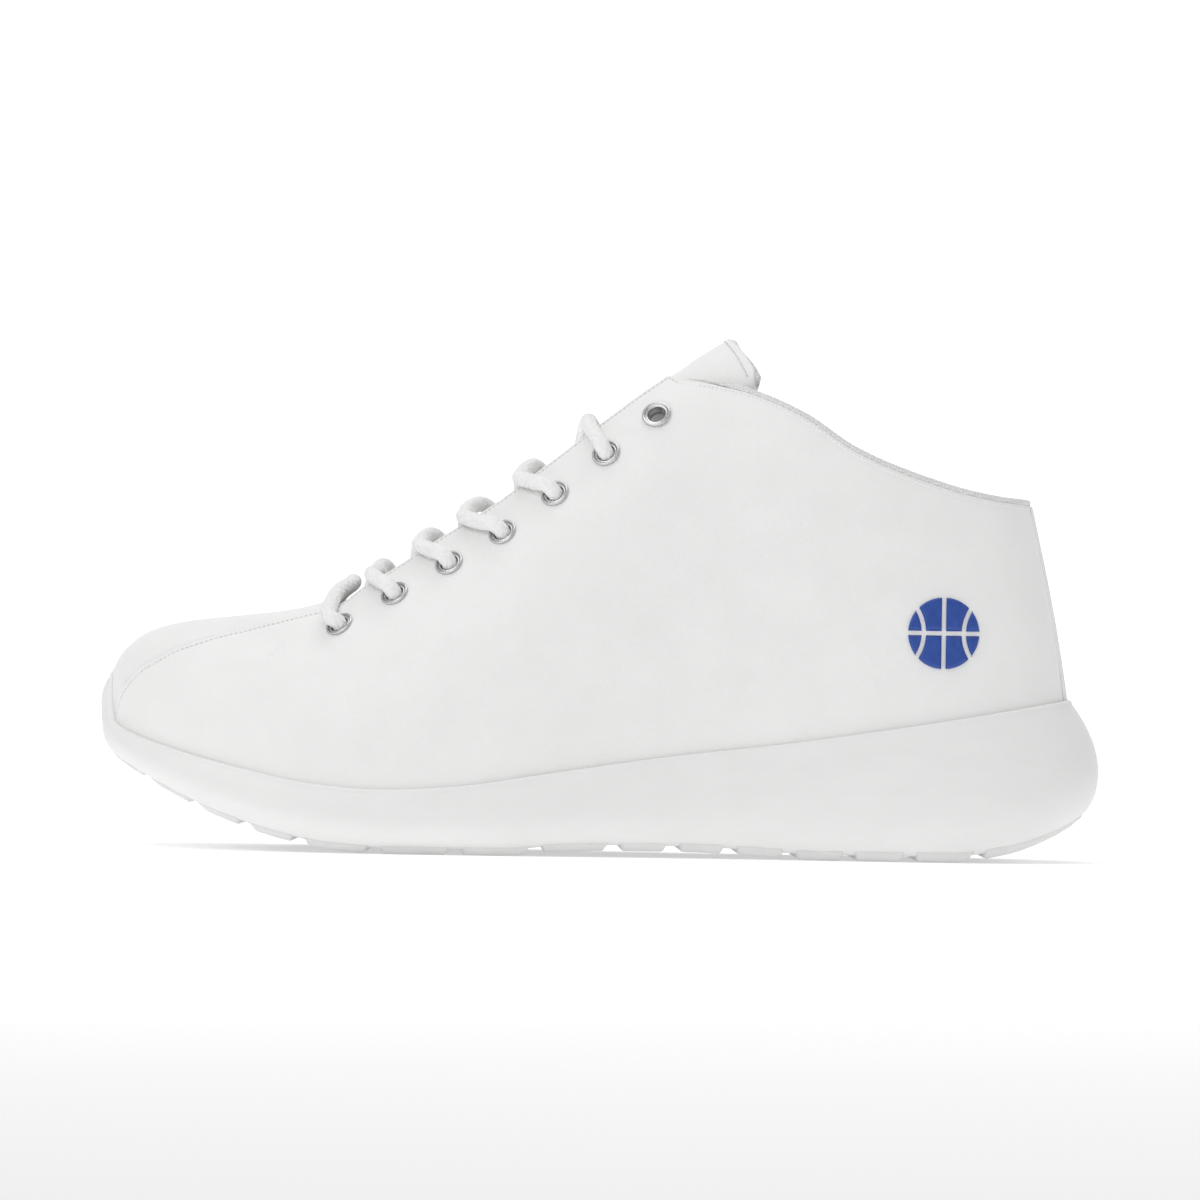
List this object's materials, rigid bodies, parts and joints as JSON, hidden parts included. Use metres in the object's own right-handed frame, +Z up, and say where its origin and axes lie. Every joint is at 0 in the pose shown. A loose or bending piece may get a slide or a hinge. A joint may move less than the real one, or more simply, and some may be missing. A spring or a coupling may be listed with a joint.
{
  "type": "basketball high top",
  "caption": "Mid-cut lace-up basketball shoe for a left foot: stitched upper on a cupped foam sole with tread pods, laced metal eyelets and a hinged padded tongue.",
  "frame": {"origin": "centre of the shoe's outline on the plane its tread stands on", "axes": "+X from the toe to the heel, +Y towards the inner (medial) side, +Z up"},
  "size_m": [0.295, 0.1087, 0.1525],
  "materials": {
    "upper_leather": "matte fine-grain white synthetic leather",
    "edge_binding": "white ribbed binding",
    "lining_knit": "white mesh lining",
    "padding_foam": "open-cell padding foam",
    "board": "pressed fibre board and stiffener sheet",
    "eva_foam": "matte white moulded foam",
    "tread_rubber": "matte white tread rubber",
    "nickel": "satin nickel",
    "lace_cotton": "white round braided lace",
    "aglet_film": "clear white film",
    "badge_rubber": "raised blue soft plastic"
  },
  "bodies": {
    "shoe": {"midsole": "eva_foam", "outsole_forefoot": "tread_rubber", "outsole_midfoot": "tread_rubber", "outsole_heel": "tread_rubber", "insole_board": "board", "sockliner": "lining_knit", "vamp": "upper_leather", "quarter_lateral": "upper_leather", "quarter_medial": "upper_leather", "toe_puff": "board", "heel_counter": "board", "eyestay_backer_lateral": "board", "eyestay_backer_medial": "board", "vamp_lining": "lining_knit", "quarter_lining_lateral": "lining_knit", "quarter_lining_medial": "lining_knit", "collar_foam": "padding_foam", "collar_binding": "edge_binding", "heel_strip": "upper_leather", "eyelets_lateral": "nickel", "eyelets_medial": "nickel", "eyelet_washers_lateral": "nickel", "eyelet_washers_medial": "nickel", "lace": "lace_cotton", "lace_tail_lateral": "lace_cotton", "lace_tail_medial": "lace_cotton", "aglet_lateral": "aglet_film", "aglet_medial": "aglet_film", "badge": "badge_rubber"},
    "tongue": {"tongue_cover": "upper_leather", "tongue_foam": "padding_foam", "tongue_lining": "lining_knit", "tongue_binding": "edge_binding"}
  },
  "joints": [
    {"name": "tongue_hinge", "type": "hinge", "parent": "shoe", "child": "tongue", "pos_m": [-0.082, 0.0022, 0.066], "axis": [0, 1, 0], "range_deg": [0, 10], "stiffness_Nm_per_rad": 0.15, "springref_deg": -11.46}
  ]
}
